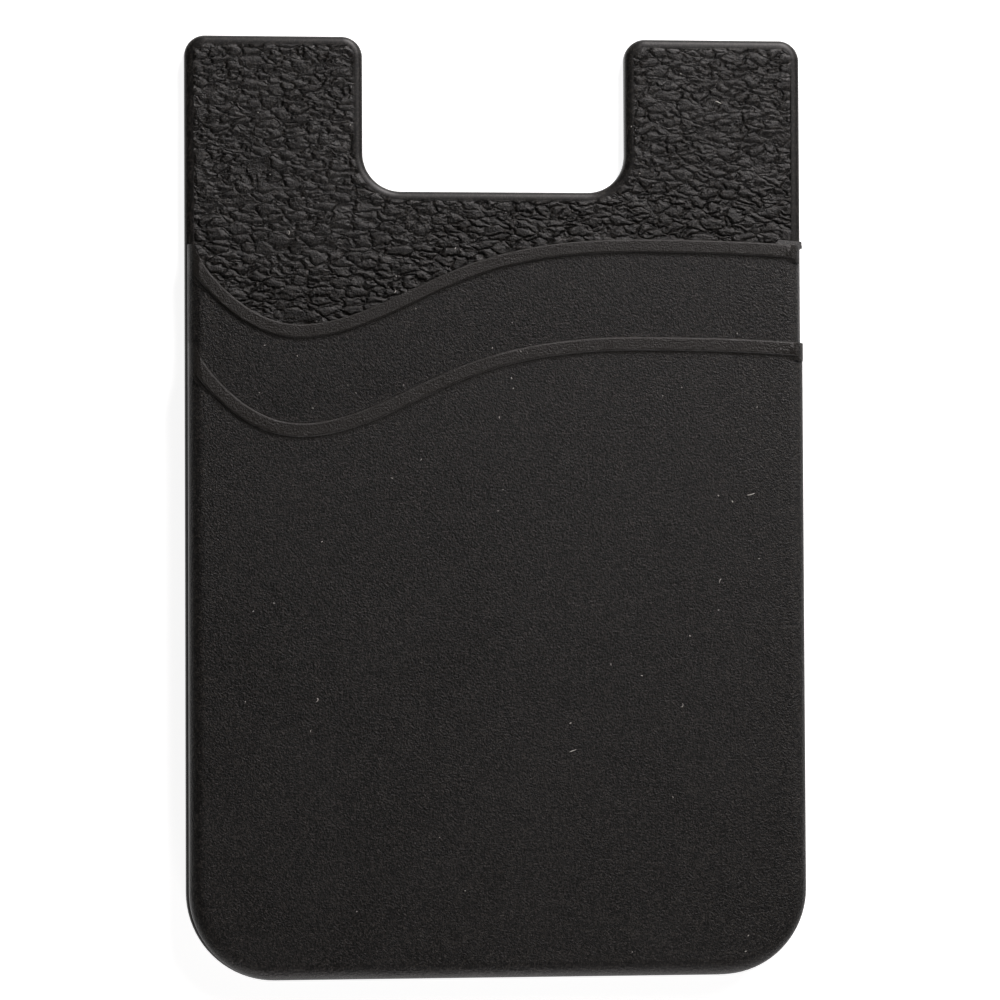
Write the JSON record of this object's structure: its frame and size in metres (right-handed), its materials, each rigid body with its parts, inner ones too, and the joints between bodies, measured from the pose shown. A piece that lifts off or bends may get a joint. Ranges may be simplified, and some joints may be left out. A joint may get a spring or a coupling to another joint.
{
  "type": "stick-on card holder",
  "caption": "Soft moulded card holder for the back of a phone, with stacked wave-edged pockets, a thumb notch and an adhesive back under a liner.",
  "frame": {"origin": "middle of the back face, which is the liner's outer face", "axes": "+X across the pockets to the right seen from the front, +Y towards the two ears, +Z out of the front"},
  "size_m": [0.06, 0.091, 0.0049],
  "materials": {
    "black_silicone": "matte, spark-textured mould finish; leather grain on the back plate",
    "acrylic_adhesive": "tacky, slightly cloudy",
    "liner_paper": "smooth coated paper"
  },
  "bodies": {
    "root": {"silicone_holder": "black_silicone", "adhesive_pad": "acrylic_adhesive", "release_liner": "liner_paper"}
  },
  "joints": []
}
